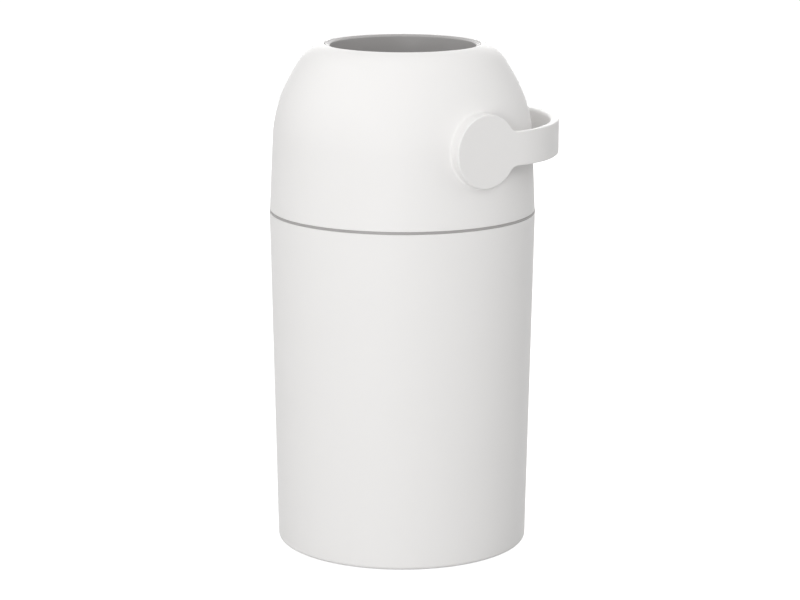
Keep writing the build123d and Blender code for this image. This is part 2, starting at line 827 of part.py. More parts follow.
with BuildPart() as piston_cap:
    with Locations((0, 0, cup_top)):
        Cylinder(piston_radius, piston_cap_plate, align=upwards)
    chamfer(piston_cap.edges().group_by(Axis.Z)[-1], piston_chamfer)
    revolve(
        ring_section(post_radius - post_wall, post_radius, weight_top, cup_top), axis=Axis.Z
    )
    with Locations((0, 0, piston_top)):
        with PolarLocations(piston_screw_circle, piston_screw_count):
            CounterBoreHole(
                radius=small_thread + press_gap,
                counter_bore_radius=small_head + passing_gap,
                counter_bore_depth=small_head_height,
                depth=piston_cap_plate,
            )
save(piston_cap.part, "piston_cap")

for name, low in zip(("piston_wiper_lower", "piston_wiper_upper"), wiper_lows):
    with BuildPart() as piston_wiper:
        revolve(
            ring_section(wiper_bore + press_gap, wiper_radius, low, low + wiper_height),
            axis=Axis.Z,
        )
    save(piston_wiper.part, name)

piston_seat = piston_top - small_head_height
piston_screw = upright_screw(
    0, piston_bite + piston_cap_plate - small_head_height, small_thread, small_head,
    small_head_height,
)
with BuildPart() as piston_screws:
    with Locations(Location((0, 0, piston_seat), (180, 0, 0))):
        with PolarLocations(piston_screw_circle, piston_screw_count):
            add(piston_screw)
save(piston_screws.part, "piston_screws")
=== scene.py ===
import json
import math

import bmesh
import bpy
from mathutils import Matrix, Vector


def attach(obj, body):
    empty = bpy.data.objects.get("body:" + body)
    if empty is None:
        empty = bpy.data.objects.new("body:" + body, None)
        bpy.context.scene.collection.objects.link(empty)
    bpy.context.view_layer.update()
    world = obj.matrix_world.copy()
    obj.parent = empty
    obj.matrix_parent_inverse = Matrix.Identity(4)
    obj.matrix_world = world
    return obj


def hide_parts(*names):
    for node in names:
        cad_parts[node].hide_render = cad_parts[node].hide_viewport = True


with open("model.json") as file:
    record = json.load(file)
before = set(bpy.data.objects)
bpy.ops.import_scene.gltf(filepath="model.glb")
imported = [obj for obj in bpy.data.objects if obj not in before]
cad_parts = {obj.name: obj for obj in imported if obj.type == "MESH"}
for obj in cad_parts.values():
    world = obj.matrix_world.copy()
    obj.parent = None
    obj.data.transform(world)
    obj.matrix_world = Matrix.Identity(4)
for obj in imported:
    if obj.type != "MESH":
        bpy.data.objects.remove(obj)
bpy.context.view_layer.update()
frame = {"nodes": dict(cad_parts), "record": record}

# Metres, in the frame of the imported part: +Z up, the pivot along X, the strap at the back (+Y).

# ---- Sizes -------------------------------------------------------------------------------------
MM = 0.001
TINY = 1e-7
WELD = MM / 1000  # points nearer than this are one point
WALL = 2.8 * MM
EDGE = 0.8 * MM  # round of a moulded edge

BIN_TOP = 379.0 * MM
BIN_TOP_RADIUS = 149.07 * MM
BIN_BASE_RADIUS = 141.5 * MM
BIN_BOTTOM = 0.8 * MM
BIN_BASE_ROUND = 4.5 * MM
BIN_FLOOR = 9.0 * MM
BIN_FLOOR_UNDER = 6.0 * MM
BIN_RIM_INNER = 119.5 * MM
BIN_INNER_ROUND = 8.0 * MM
BIN_TAPER = (BIN_TOP_RADIUS - BIN_BASE_RADIUS) / (BIN_TOP - BIN_BOTTOM)
BIN_FLOOR_RADIUS = BIN_BASE_RADIUS + (BIN_FLOOR - BIN_BOTTOM) * BIN_TAPER - WALL

FOOT_INNER = 123.5 * MM
FOOT_OUTER = 132.1 * MM
FOOT_TOP = 3.0 * MM
FOOT_ROUND = 0.5 * MM

DOME_FOOT = 381.8 * MM
DOME_FOOT_RADIUS = 148.7 * MM
SIDE_LEAN = math.radians(2.45)
SIDE_TOP = 463.4 * MM
# Arcs of the dome's section from the side up: radius, and lean from upright at the upper end.
SHOULDER = (146.7 * MM, math.radians(26.1))
CROWN = (247.5 * MM, math.radians(34.1))
BROW = (37.7 * MM, math.radians(88.0))
MOUTH_RADIUS = 86.96 * MM
MOUTH_LIP = 89.76 * MM
MOUTH_LIP_BOTTOM = 560.48 * MM
MOUTH_ROUND = 0.9 * MM

PIVOT = 464.4 * MM
DISC_RADIUS = 40.6 * MM
BOSS_FACE = 147.9 * MM
BOSS_ROOT = 3.0 * MM
BOSS_ROOT_SHARE = 0.96  # share of the boss's height that the round at its root may take
BOSS_EDGE = 0.2 * MM
BUSH_HOLE = 16.52 * MM
HUB_TUBE = 21.5 * MM
HUB_TUBE_END = 120.26 * MM

HANDLE_SIDE = 152.6 * MM
HANDLE_INSIDE = 148.0 * MM
HANDLE_REACH = 179.25 * MM
STRAP_HALF = 19.0 * MM
STRAP_END_THICKNESS = 12.5 * MM
STRAP_STRAIGHT = 44.5 * MM
STRAP_CORNER = 112.0 * MM
STRAP_INNER_CORNER = 85.0 * MM
STRAP_ROOT = 12.0 * MM
HANDLE_ROUND = 1.6 * MM  # all round the outer face
HANDLE_INNER_ROUND = 0.4 * MM  # on the inner face beside the boss
STRAP_INNER_ROUND = 4.0 * MM  # on the inner face at the back

BAND_RADIUS = 149.0 * MM
BAND_ROUND = 0.6 * MM
RING_BORE = 139.95 * MM
RING_ROUND = 0.4 * MM  # of the bag ring's skirt and lip
SKIRT_OUTER = 145.36 * MM
SKIRT_BOTTOM = 355.0 * MM
LIP_TOP = 393.1 * MM
LIP_OUTER = 144.91 * MM
LIP_WALL = 2.5 * MM

COLLAR_BORE = 78.96 * MM
COLLAR_OUTER = 82.16 * MM
COLLAR_BOTTOM = 545.6 * MM
COLLAR_RIM = 86.66 * MM
COLLAR_RIM_ROUND = 0.6 * MM
COLLAR_TOP = 567.38 * MM
COLLAR_FALL = 2.0 * MM  # from the rim in to the lip's inner edge
COLLAR_LIP_INNER = 81.4 * MM  # the wall tapers from here down to the bore
COLLAR_LIP_ROUND = 1.2 * MM
COLLAR_LIP = 3.5 * MM
COLLAR_FLANGE = 97.46 * MM
COLLAR_FLANGE_HEIGHT = 3.0 * MM

SEAL_BALL = 112.26 * MM  # radius of the seals' hollow face
SEAL_INNER = 79.26 * MM
SEAL_OUTER = 85.96 * MM
SEAL_GRIP = 7.0 * MM
SEAL_ROUND = 0.5 * MM

HOUSING_BOTTOM = 397.4 * MM
HOUSING_PLATE = 3.0 * MM
HOUSING_OUTER = 144.6 * MM
HOUSING_ROUND = 3.0 * MM
HOUSING_CONE_OUTER = 124.96 * MM
HOUSING_CONE_INNER = 124.5 * MM
HOUSING_CONE_START = 369.4 * MM
HOUSING_CONE_PLATE = 3.3 * MM
THROAT_BOTTOM = 361.4 * MM
THROAT_TOP = 2 * PIVOT - COLLAR_BOTTOM  # as far below the pivot as the collar is above it
GASKET_WIDTH = 4.8 * MM
GASKET_HEIGHT = 4.0 * MM
GASKET_ROUND = 1.2 * MM

CHAMBER_RADIUS = 75.96 * MM
CHAMBER_OUTER = 78.96 * MM
CHAMBER_LOW = PIVOT - 79.17 * MM
CHAMBER_HIGH = PIVOT + 79.17 * MM
CHAMBER_ROUND = 0.6 * MM
STOP_LIP = 4.0 * MM  # how far the end rings stand into the chamber
STOP_HEIGHT = 3.0 * MM
TUBE_FLANGE = 81.96 * MM
TUBE_FLANGE_LOW = PIVOT - 59.0 * MM  # top of the lower flange
TUBE_FLANGE_HIGH = PIVOT + 59.0 * MM  # underside of the upper flange
TUBE_FLANGE_HEIGHT = 2.0 * MM

WIPER_INNER = 72.68 * MM
WIPER_OUTER = 75.66 * MM
WIPER_HEIGHT = 3.2 * MM
WIPER_LOWS = (394.22 * MM, 415.02 * MM)
RING_PIECE_ROUND = 0.5 * MM

# ---- Fineness of the meshes --------------------------------------------------------------------
ROUND_STEP = math.radians(12)  # turn of one facet in a rounded corner
SHARP = math.radians(50)  # drawn pieces: edges that turn more than this are shaded as edges
NODE_SHARP = math.radians(30)  # the same for the CAD nodes
LATHE_STEPS = 256
DOME_ROW = 3.4 * MM  # height of one row of the dome's mesh
SEAL_STEPS = 8
PATCH_HALF = 50.0 * MM  # half the side of the patch of mesh round a boss
PATCH_ROWS = 5
BOSS_ROOT_TRIES = 12
BOSS_ROOT_STEPS = 8
BOSS_EDGE_STEPS = 4
BOSS_FACE_ROWS = (33.0 * MM, 27.0 * MM, 21.0 * MM)
DISC_STEPS = 48
STRAP_ROOT_STEPS = 8
STRAP_CORNER_STEPS = 28
STRAP_BACK_STEPS = 24
HANDLE_ROUND_STEPS = 6
HANDLE_FACE_ROWS = 8
FLOOR_CELLS = 8

# ---- Materials, floor, lamps and camera --------------------------------------------------------
CLOUD_SCALE = 14.0
CLOUD_DETAIL = 5.0
GLOSS_SCALE = 60.0
GLOSS_DETAIL = 6.0
GLOSS_SPREAD = 0.06  # of the roughness, either way
GRAIN_SCALE = 1500.0
GRAIN_DETAIL = 3.0
GRAIN_DEPTH = 0.012 * MM

FLOOR_HALF = 12.0
FLOOR_COLOUR = (0.5, 0.5, 0.5)
FLOOR_GLOW = 0.9  # seen by the camera, mirrors and glass only
AMBIENT = 0.34

# Name, compass angle, distance from the axis, height, height aimed at, width, power.
LAMPS = (
    ("key", 40, 3.4, 0.45, 0.3, 2.2, 77),
    ("top", 0, 0, 1.3, 0.3, 3.6, 14.5),
    ("left", -40, 1.7, 1.5, 0.4, 1.6, 6.5),
    ("right", 140, 1.7, 1.5, 0.4, 1.6, 6),
    ("back", 233, 3.4, 0.8, 0.3, 2.2, 46),
)

CAMERA_AZIMUTH = 53.0
CAMERA_DISTANCE = 2.942
CAMERA_HEIGHT = 0.9164
CAMERA_AIM = 0.2755
CAMERA_LENS = 119.63
CAMERA_SENSOR = 36.0
CAMERA_SHIFT = -0.0027
CAMERA_ROLL = math.radians(0.126)


# ---- Mesh helpers ------------------------------------------------------------------------------
def spoke(angle):
    """Unit vector at an angle."""
    return Vector((math.cos(angle), math.sin(angle)))


def rounded(corners):
    """Points of a closed outline. A corner is (across, up) or (across, up, rounding)."""
    points = []
    for i, corner in enumerate(corners):
        here = Vector(corner[:2])
        radius = corner[2] if len(corner) > 2 else 0
        if not radius:
            points.append(here)
            continue
        back = (Vector(corners[i - 1][:2]) - here).normalized()
        ahead = (Vector(corners[(i + 1) % len(corners)][:2]) - here).normalized()
        half = back.angle(ahead) / 2
        centre = here + (back + ahead).normalized() * radius / math.sin(half)
        first = here + back * radius / math.tan(half) - centre
        last = here + ahead * radius / math.tan(half) - centre
        turn = math.pi - 2 * half
        steps = max(2, math.ceil(turn / ROUND_STEP))
        for k in range(steps + 1):
            share = k / steps
            reach = first * math.sin((1 - share) * turn) + last * math.sin(share * turn)
            points.append(centre + reach / math.sin(turn))
    return points


def lathe_rings(bm, outline, skipped=()):
    """Rings of vertices about the Z axis, one for each (radius, height) point."""
    rings = []
    for row, (radius, height) in enumerate(outline):
        if radius < TINY:
            rings.append([bm.verts.new((0, 0, height))] * LATHE_STEPS)
            continue
        ring = []
        for column in range(LATHE_STEPS):
            if (row, column) in skipped:
                ring.append(None)
                continue
            angle = 2 * math.pi * column / LATHE_STEPS
            spot = (radius * math.cos(angle), radius * math.sin(angle), height)
            ring.append(bm.verts.new(spot))
        rings.append(ring)
    return rings


def join_rings(bm, first, second):
    """Faces between two closed rows of as many vertices, but for the gaps in them."""
    count = len(first)
    for k in range(count):
        corners = (first[k], first[(k + 1) % count], second[(k + 1) % count], second[k])
        if None in corners:
            continue
        corners = tuple(dict.fromkeys(corners))
        if len(corners) > 2:
            bm.faces.new(corners)


def make_object(name, bm):
    """Scene object from a finished bmesh, smooth but for its sharp edges."""
    bmesh.ops.recalc_face_normals(bm, faces=bm.faces)
    mesh = bpy.data.meshes.new(name)
    bm.to_mesh(mesh)
    bm.free()
    mesh.shade_smooth()
    mesh.set_sharp_from_angle(angle=SHARP)
    piece = bpy.data.objects.new(name, mesh)
    bpy.context.scene.collection.objects.link(piece)
    weights = piece.modifiers.new("weighted_normals", "WEIGHTED_NORMAL")
    weights.keep_sharp = True
    return piece


def lathe(name, corners):
    """Piece turned about the Z axis from a closed outline of corners as rounded() takes them."""
    bm = bmesh.new()
    rings = lathe_rings(bm, rounded(corners))
    for first, second in zip(rings, rings[1:] + rings[:1]):
        join_rings(bm, first, second)
    return make_object(name, bm)


def ring_piece(name, inner, outer, low, high):
    """Plain ring with its four edges rounded."""
    corners = [(inner, low), (outer, low), (outer, high), (inner, high)]
    return lathe(name, [(*corner, RING_PIECE_ROUND) for corner in corners])


# ---- Materials ---------------------------------------------------------------------------------
def noise(tree, where, scale, detail):
    """Noise over a piece's own coordinates."""
    texture = tree.nodes.new("ShaderNodeTexNoise")
    texture.inputs["Scale"].default_value = scale
    texture.inputs["Detail"].default_value = detail
    tree.links.new(where.outputs["Object"], texture.inputs["Vector"])
    return texture.outputs["Fac"]


def moulded(name, colour, roughness, variation=0.02, specular=0.5, metallic=0.0):
    """Moulded plastic, rubber or plated metal: faint clouding, uneven gloss and a fine grain."""
    material = bpy.data.materials.new(name)
    material.use_nodes = True
    tree = material.node_tree
    shader = tree.nodes["Principled BSDF"]
    shader.inputs["Specular IOR Level"].default_value = specular
    shader.inputs["Metallic"].default_value = metallic
    where = tree.nodes.new("ShaderNodeTexCoord")

    tint = tree.nodes.new("ShaderNodeMix")
    tint.data_type = "RGBA"
    for end, factor in (("A", 1 - variation), ("B", 1 + variation)):
        tint.inputs[end].default_value = (*[min(1, level * factor) for level in colour], 1)
    tree.links.new(noise(tree, where, CLOUD_SCALE, CLOUD_DETAIL), tint.inputs["Factor"])
    tree.links.new(tint.outputs["Result"], shader.inputs["Base Color"])

    gloss = tree.nodes.new("ShaderNodeMapRange")
    gloss.inputs["To Min"].default_value = roughness - GLOSS_SPREAD
    gloss.inputs["To Max"].default_value = roughness + GLOSS_SPREAD
    tree.links.new(noise(tree, where, GLOSS_SCALE, GLOSS_DETAIL), gloss.inputs["Value"])
    tree.links.new(gloss.outputs["Result"], shader.inputs["Roughness"])

    bump = tree.nodes.new("ShaderNodeBump")
    bump.inputs["Distance"].default_value = GRAIN_DEPTH
    tree.links.new(noise(tree, where, GRAIN_SCALE, GRAIN_DETAIL), bump.inputs["Height"])
    tree.links.new(bump.outputs["Normal"], shader.inputs["Normal"])
    return material


finishes = {
    "white_shell": moulded("white_shell", (0.84, 0.83, 0.82), 0.5, variation=0.008, specular=0.2),
    "grey_trim": moulded("grey_trim", (0.36, 0.35, 0.345), 0.5),
    "grey_inner": moulded("grey_inner", (0.5, 0.49, 0.485), 0.48),
    "bearing": moulded("bearing", (0.78, 0.77, 0.72), 0.3),
    "seal_rubber": moulded("seal_rubber", (0.12, 0.12, 0.12), 0.75, variation=0.08),
    "steel": moulded("steel", (0.6, 0.6, 0.61), 0.34, variation=0.04, metallic=1.0),
}


def place(piece, body, slot, *nodes):
    """Attach a piece to what it rides on, hide the nodes it stands for and give it its material.
    """
    piece.data.materials.append(finishes[slot])
    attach(piece, body)
    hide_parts(*nodes)


# ---- Bin body, foot ring and bag ring ----------------------------------------------------------
bin_shell = lathe(
    "bin_shell",
    [
        (0, BIN_FLOOR_UNDER),
        (BIN_RIM_INNER, BIN_FLOOR_UNDER),
        (BIN_RIM_INNER, BIN_BOTTOM),
        (FOOT_INNER, BIN_BOTTOM),
        (FOOT_INNER, FOOT_TOP),
        (FOOT_OUTER, FOOT_TOP),
        (FOOT_OUTER, BIN_BOTTOM),
        (BIN_BASE_RADIUS, BIN_BOTTOM, BIN_BASE_ROUND),
        (BIN_TOP_RADIUS, BIN_TOP, EDGE),
        (BIN_TOP_RADIUS - WALL, BIN_TOP),
        (BIN_FLOOR_RADIUS, BIN_FLOOR, BIN_INNER_ROUND),
        (0, BIN_FLOOR),
    ],
)
place(bin_shell, "bin", "white_shell", "bin_body")

foot = lathe(
    "foot_strip",
    [
        (FOOT_INNER, 0, FOOT_ROUND),
        (FOOT_OUTER, 0, FOOT_ROUND),
        (FOOT_OUTER, FOOT_TOP),
        (FOOT_INNER, FOOT_TOP),
    ],
)
place(foot, "bin", "seal_rubber", "foot_ring")

band = lathe(
    "seam_band",
    [
        (RING_BORE, BIN_TOP),
        (SKIRT_OUTER - WALL, BIN_TOP),
        (SKIRT_OUTER - WALL, SKIRT_BOTTOM, RING_ROUND),
        (SKIRT_OUTER, SKIRT_BOTTOM, RING_ROUND),
        (SKIRT_OUTER, BIN_TOP),
        (BAND_RADIUS, BIN_TOP, BAND_ROUND),
        (BAND_RADIUS, DOME_FOOT, BAND_ROUND),
        (LIP_OUTER, DOME_FOOT),
        (LIP_OUTER, LIP_TOP, RING_ROUND),
        (LIP_OUTER - LIP_WALL, LIP_TOP, RING_ROUND),
        (LIP_OUTER - LIP_WALL, DOME_FOOT),
        (RING_BORE, DOME_FOOT, RING_ROUND),
    ],
)
place(band, "ring", "grey_trim", "bag_ring")


# ---- Dome --------------------------------------------------------------------------------------
def dome_arcs():
    """Centre, radius, start and end lean of each arc of the dome's outer section."""
    arcs = []
    radius = DOME_FOOT_RADIUS - (SIDE_TOP - DOME_FOOT) * math.tan(SIDE_LEAN)
    height = SIDE_TOP
    lean = SIDE_LEAN
    for size, end in (SHOULDER, CROWN, BROW):
        centre = Vector((radius - size * math.cos(lean), height - size * math.sin(lean)))
        arcs.append((centre, size, lean, end))
        radius = centre.x + size * math.cos(end)
        height = centre.y + size * math.sin(end)
        lean = end
    return arcs


ARCS = dome_arcs()


def dome_radius(height, inset):
    """Radius of the dome's outer surface, or of one drawn inside it, at a height."""
    for centre, size, start, _ in reversed(ARCS):
        if height >= centre.y + (size - inset) * math.sin(start):
            return centre.x + math.sqrt((size - inset) ** 2 - (height - centre.y) ** 2)
    foot_radius = DOME_FOOT_RADIUS - inset / math.cos(SIDE_LEAN)
    return foot_radius - (height - DOME_FOOT) * math.tan(SIDE_LEAN)


def dome_rows(inset, end_radius):
    """Points up the dome's section from its foot to where it reaches a radius."""
    side_top = SIDE_TOP - inset * math.sin(SIDE_LEAN)
    count = round((SIDE_TOP - DOME_FOOT) / DOME_ROW)
    heights = [DOME_FOOT + (side_top - DOME_FOOT) * k / count for k in range(count)]
    points = [Vector((dome_radius(height, inset), height)) for height in heights]
    for centre, size, start, end in ARCS:
        if size == BROW[0]:
            end = math.acos((end_radius - centre.x) / (size - inset))
        count = round((end - start) * size / DOME_ROW)
        for k in range(count):
            lean = start + (end - start) * k / count
            points.append(centre + spoke(lean) * (size - inset))
    points.append(centre + spoke(end) * (size - inset))
    return points


def boss_section(across, up):
    """(radius, depth) points down the boss beside the dome, at one angle round the pivot."""

    def dome_at(reach):
        y = reach * across
        return math.sqrt(dome_radius(PIVOT + reach * up, 0) ** 2 - y**2)

    # The round at the root is as large as fits under the boss's edge at this angle.
    wall_top = BOSS_FACE - BOSS_EDGE
    root = BOSS_ROOT
    for _ in range(BOSS_ROOT_TRIES):
        slope = (dome_at(DISC_RADIUS + root + MM) - dome_at(DISC_RADIUS + root)) / MM
        steep = math.hypot(1, slope)
        room = wall_top - dome_at(DISC_RADIUS + root)
        root = min(BOSS_ROOT, BOSS_ROOT_SHARE * room / steep)
    centre = Vector((DISC_RADIUS + root, dome_at(DISC_RADIUS + root) + root * steep))
    sweep = math.pi / 2 + math.atan(slope)
    points = []
    for k in range(BOSS_ROOT_STEPS + 1):
        points.append(centre + spoke(math.pi + sweep * (1 - k / BOSS_ROOT_STEPS)) * root)
    for k in range(BOSS_EDGE_STEPS + 1):
        edge = spoke(math.pi / 2 * k / BOSS_EDGE_STEPS) * BOSS_EDGE
        points.append(Vector((DISC_RADIUS - BOSS_EDGE, wall_top)) + edge)
    for reach in (*BOSS_FACE_ROWS, BUSH_HOLE):
        points.append(Vector((reach, BOSS_FACE)))
    return points


def hub_section(across, up):
    """(radius, depth) points down the hollow boss and the hub tube, at one angle."""
    reach = DISC_RADIUS - WALL
    inside = math.sqrt(dome_radius(PIVOT + reach * up, WALL) ** 2 - (reach * across) ** 2)
    return [
        Vector((reach, inside)),
        Vector((reach, BOSS_FACE - WALL)),
        Vector((HUB_TUBE, BOSS_FACE - WALL)),
        Vector((HUB_TUBE, HUB_TUBE_END)),
        Vector((BUSH_HOLE, HUB_TUBE_END)),
    ]


def window_rim(rings, lower, upper, columns, middle):
    """Vertices once round a square window in the rings, from the start of its lower row."""
    step = 1 if upper > lower else -1
    spots = [(lower, column) for column in columns[:-1]]
    spots += [(row, columns[-1]) for row in range(lower, upper, step)]
    spots += [(upper, column) for column in reversed(columns[1:])]
    spots += [(row, columns[0]) for row in range(upper, lower, -step)]
    return [rings[row][(middle + column) % LATHE_STEPS] for row, column in spots]


def patch(bm, rim, side, inset, section):
    """Rings from a square rim in the dome's surface to a round section about the pivot."""
    angles = [math.atan2(vert.co.z - PIVOT, vert.co.y) for vert in rim]
    sections = [section(math.cos(angle), math.sin(angle)) for angle in angles]
    last = rim
    for k in range(1, PATCH_ROWS):
        ring = []
        for vert, angle, points in zip(rim, angles, sections):
            reach = points[0].x
            y = vert.co.y + (reach * math.cos(angle) - vert.co.y) * k / PATCH_ROWS
            z = vert.co.z + (PIVOT + reach * math.sin(angle) - vert.co.z) * k / PATCH_ROWS
            x = math.sqrt(dome_radius(z, inset) ** 2 - y**2)
            ring.append(bm.verts.new((side * x, y, z)))
        join_rings(bm, last, ring)
        last = ring
    for k in range(len(sections[0])):
        ring = []
        for angle, points in zip(angles, sections):
            reach, depth = points[k]
            y = reach * math.cos(angle)
            z = PIVOT + reach * math.sin(angle)
            ring.append(bm.verts.new((side * depth, y, z)))
        join_rings(bm, last, ring)
        last = ring
    return last


def row_near(points, height):
    """Number of the point nearest to a height, the first one left out."""
    return min(range(1, len(points)), key=lambda row: abs(points[row].y - height))


def dome_shell():
    """The dome: turned all round, with a boss and a hub tube let in on each side."""
    outer = dome_rows(0, MOUTH_RADIUS)
    inner = dome_rows(WALL, MOUTH_LIP)
    outline = rounded(
        [
            (*outer[0], EDGE),
            *outer[1:-1],
            (*outer[-1], MOUTH_ROUND),
            (MOUTH_RADIUS, MOUTH_LIP_BOTTOM),
            (MOUTH_LIP, MOUTH_LIP_BOTTOM),
            *reversed(inner),
        ]
    )
    half = round(math.asin(PATCH_HALF / BOSS_FACE) / (2 * math.pi) * LATHE_STEPS)
    columns = range(-half, half + 1)
    low = row_near(outer, PIVOT - PATCH_HALF)
    high = row_near(outer, PIVOT + PATCH_HALF)
    first_outer = outline.index(outer[1]) - 1
    last_inner = len(outline) - 1
    # Lower and upper row of the window that each side's patch fills, inset and section.
    windows = (
        (first_outer + low, first_outer + high, 0, boss_section),
        (last_inner - low, last_inner - high, WALL, hub_section),
    )
    middles = ((1, 0), (-1, LATHE_STEPS // 2))
    skipped = {
        (row, (middle + column) % LATHE_STEPS)
        for lower, upper, _, _ in windows
        for row in range(min(lower, upper) + 1, max(lower, upper))
        for _, middle in middles
        for column in columns[1:-1]
    }
    bm = bmesh.new()
    rings = lathe_rings(bm, outline, skipped)
    for row, ring in enumerate(rings):
        join_rings(bm, ring, rings[(row + 1) % len(rings)])
    for side, middle in middles:
        ends = []
        for lower, upper, inset, section in windows:
            rim = window_rim(rings, lower, upper, columns, middle)
            ends.append(patch(bm, rim, side, inset, section))
        join_rings(bm, *ends)
    return make_object("dome_shell", bm)


dome = dome_shell()
place(dome, "head", "white_shell", "dome_cover")

# ---- Collar, seals, housing and gasket ---------------------------------------------------------
collar_outer_fall = COLLAR_FALL * (COLLAR_RIM - COLLAR_OUTER) / (COLLAR_RIM - COLLAR_LIP_INNER)
collar = lathe(
    "mouth_ring",
    [
        (COLLAR_BORE, COLLAR_BOTTOM),
        (COLLAR_LIP_INNER, COLLAR_TOP - COLLAR_FALL, COLLAR_LIP_ROUND),
        (COLLAR_RIM, COLLAR_TOP, COLLAR_RIM_ROUND),
        (COLLAR_RIM, COLLAR_TOP - COLLAR_LIP),
        (COLLAR_OUTER, COLLAR_TOP - COLLAR_LIP - collar_outer_fall),
        (COLLAR_OUTER, MOUTH_LIP_BOTTOM),
        (COLLAR_FLANGE, MOUTH_LIP_BOTTOM),
        (COLLAR_FLANGE, MOUTH_LIP_BOTTOM - COLLAR_FLANGE_HEIGHT),
        (COLLAR_OUTER, MOUTH_LIP_BOTTOM - COLLAR_FLANGE_HEIGHT),
        (COLLAR_OUTER, COLLAR_BOTTOM),
    ],
)
place(collar, "head", "grey_trim", "mouth_collar")


def seal_corners(up):
    """Section of the seal over the ball, up = 1, or of the one under it, up = -1."""
    grip = COLLAR_BOTTOM + SEAL_GRIP - PIVOT
    corners = []
    for k in range(SEAL_STEPS + 1):
        radius = SEAL_INNER + (SEAL_OUTER - SEAL_INNER) * k / SEAL_STEPS
        corners.append((radius, math.sqrt(SEAL_BALL**2 - radius**2)))
    corners += [
        (SEAL_OUTER, grip, SEAL_ROUND),
        (COLLAR_OUTER, grip),
        (COLLAR_OUTER, COLLAR_BOTTOM - PIVOT),
        (SEAL_INNER, COLLAR_BOTTOM - PIVOT),
    ]
    return [(corner[0], PIVOT + up * corner[1], *corner[2:]) for corner in corners]


for name, up in (("upper_seal", 1), ("lower_seal", -1)):
    place(lathe(f"{name}_ring", seal_corners(up)), "head", "seal_rubber", name)

housing = lathe(
    "housing_funnel",
    [
        (COLLAR_BORE, THROAT_BOTTOM, EDGE),
        (COLLAR_OUTER, THROAT_BOTTOM, EDGE),
        (COLLAR_OUTER, HOUSING_CONE_START, HOUSING_ROUND),
        (HOUSING_CONE_OUTER, HOUSING_BOTTOM, HOUSING_ROUND),
        (HOUSING_OUTER, HOUSING_BOTTOM),
        (HOUSING_OUTER, HOUSING_BOTTOM + HOUSING_PLATE),
        (HOUSING_CONE_INNER, HOUSING_BOTTOM + HOUSING_PLATE, HOUSING_ROUND),
        (COLLAR_OUTER, HOUSING_CONE_START + HOUSING_CONE_PLATE),
        (COLLAR_OUTER, THROAT_TOP),
        (COLLAR_BORE, THROAT_TOP, EDGE),
    ],
)
place(housing, "head", "grey_inner", "lower_housing")

gasket = lathe(
    "gasket_ring",
    [
        (HOUSING_OUTER - GASKET_WIDTH, HOUSING_BOTTOM - GASKET_HEIGHT, GASKET_ROUND),
        (HOUSING_OUTER, HOUSING_BOTTOM - GASKET_HEIGHT, GASKET_ROUND),
        (HOUSING_OUTER, HOUSING_BOTTOM),
        (HOUSING_OUTER - GASKET_WIDTH, HOUSING_BOTTOM),
    ],
)
place(gasket, "head", "seal_rubber", "lid_gasket")

# ---- Chamber and piston's wipers ---------------------------------------------------------------
tube = lathe(
    "chamber_wall",
    [
        (CHAMBER_RADIUS, CHAMBER_LOW, CHAMBER_ROUND),
        (CHAMBER_OUTER, CHAMBER_LOW, CHAMBER_ROUND),
        (CHAMBER_OUTER, TUBE_FLANGE_LOW - TUBE_FLANGE_HEIGHT),
        (TUBE_FLANGE, TUBE_FLANGE_LOW - TUBE_FLANGE_HEIGHT),
        (TUBE_FLANGE, TUBE_FLANGE_LOW),
        (CHAMBER_OUTER, TUBE_FLANGE_LOW),
        (CHAMBER_OUTER, TUBE_FLANGE_HIGH),
        (TUBE_FLANGE, TUBE_FLANGE_HIGH),
        (TUBE_FLANGE, TUBE_FLANGE_HIGH + TUBE_FLANGE_HEIGHT),
        (CHAMBER_OUTER, TUBE_FLANGE_HIGH + TUBE_FLANGE_HEIGHT),
        (CHAMBER_OUTER, CHAMBER_HIGH, CHAMBER_ROUND),
        (CHAMBER_RADIUS, CHAMBER_HIGH, CHAMBER_ROUND),
    ],
)
place(tube, "rotor", "grey_trim", "chamber_tube")

for name, low in (
    ("chamber_ring_lower", CHAMBER_LOW),
    ("chamber_ring_upper", CHAMBER_HIGH - STOP_HEIGHT),
):
    inner = CHAMBER_RADIUS - STOP_LIP
    stop = ring_piece(f"{name}_lip", inner, CHAMBER_RADIUS, low, low + STOP_HEIGHT)
    place(stop, "rotor", "grey_trim", name)

for name, low in zip(("piston_wiper_lower", "piston_wiper_upper"), WIPER_LOWS):
    wiper = ring_piece(f"{name}_ring", WIPER_INNER, WIPER_OUTER, low, low + WIPER_HEIGHT)
    place(wiper, "piston", "seal_rubber", name)


# ---- Handle ------------------------------------------------------------------------------------
def strap_face(side_x, reach, corner, station):
    """Plan point of one face of the strap at a station (y, share of corner, share of back)."""
    y, corner_share, back_share = station
    centre = side_x - corner
    run = reach - STRAP_STRAIGHT
    end_radius = (centre**2 + run**2 - corner**2) / (2 * (run - corner))
    turn = math.atan2(end_radius - run, centre)
    if back_share:
        angle = turn + (math.pi / 2 - turn) * back_share
        return spoke(angle) * end_radius + Vector((0, reach - end_radius))
    angle = turn * corner_share
    return Vector((centre + corner * math.cos(angle), y + corner * math.sin(angle)))


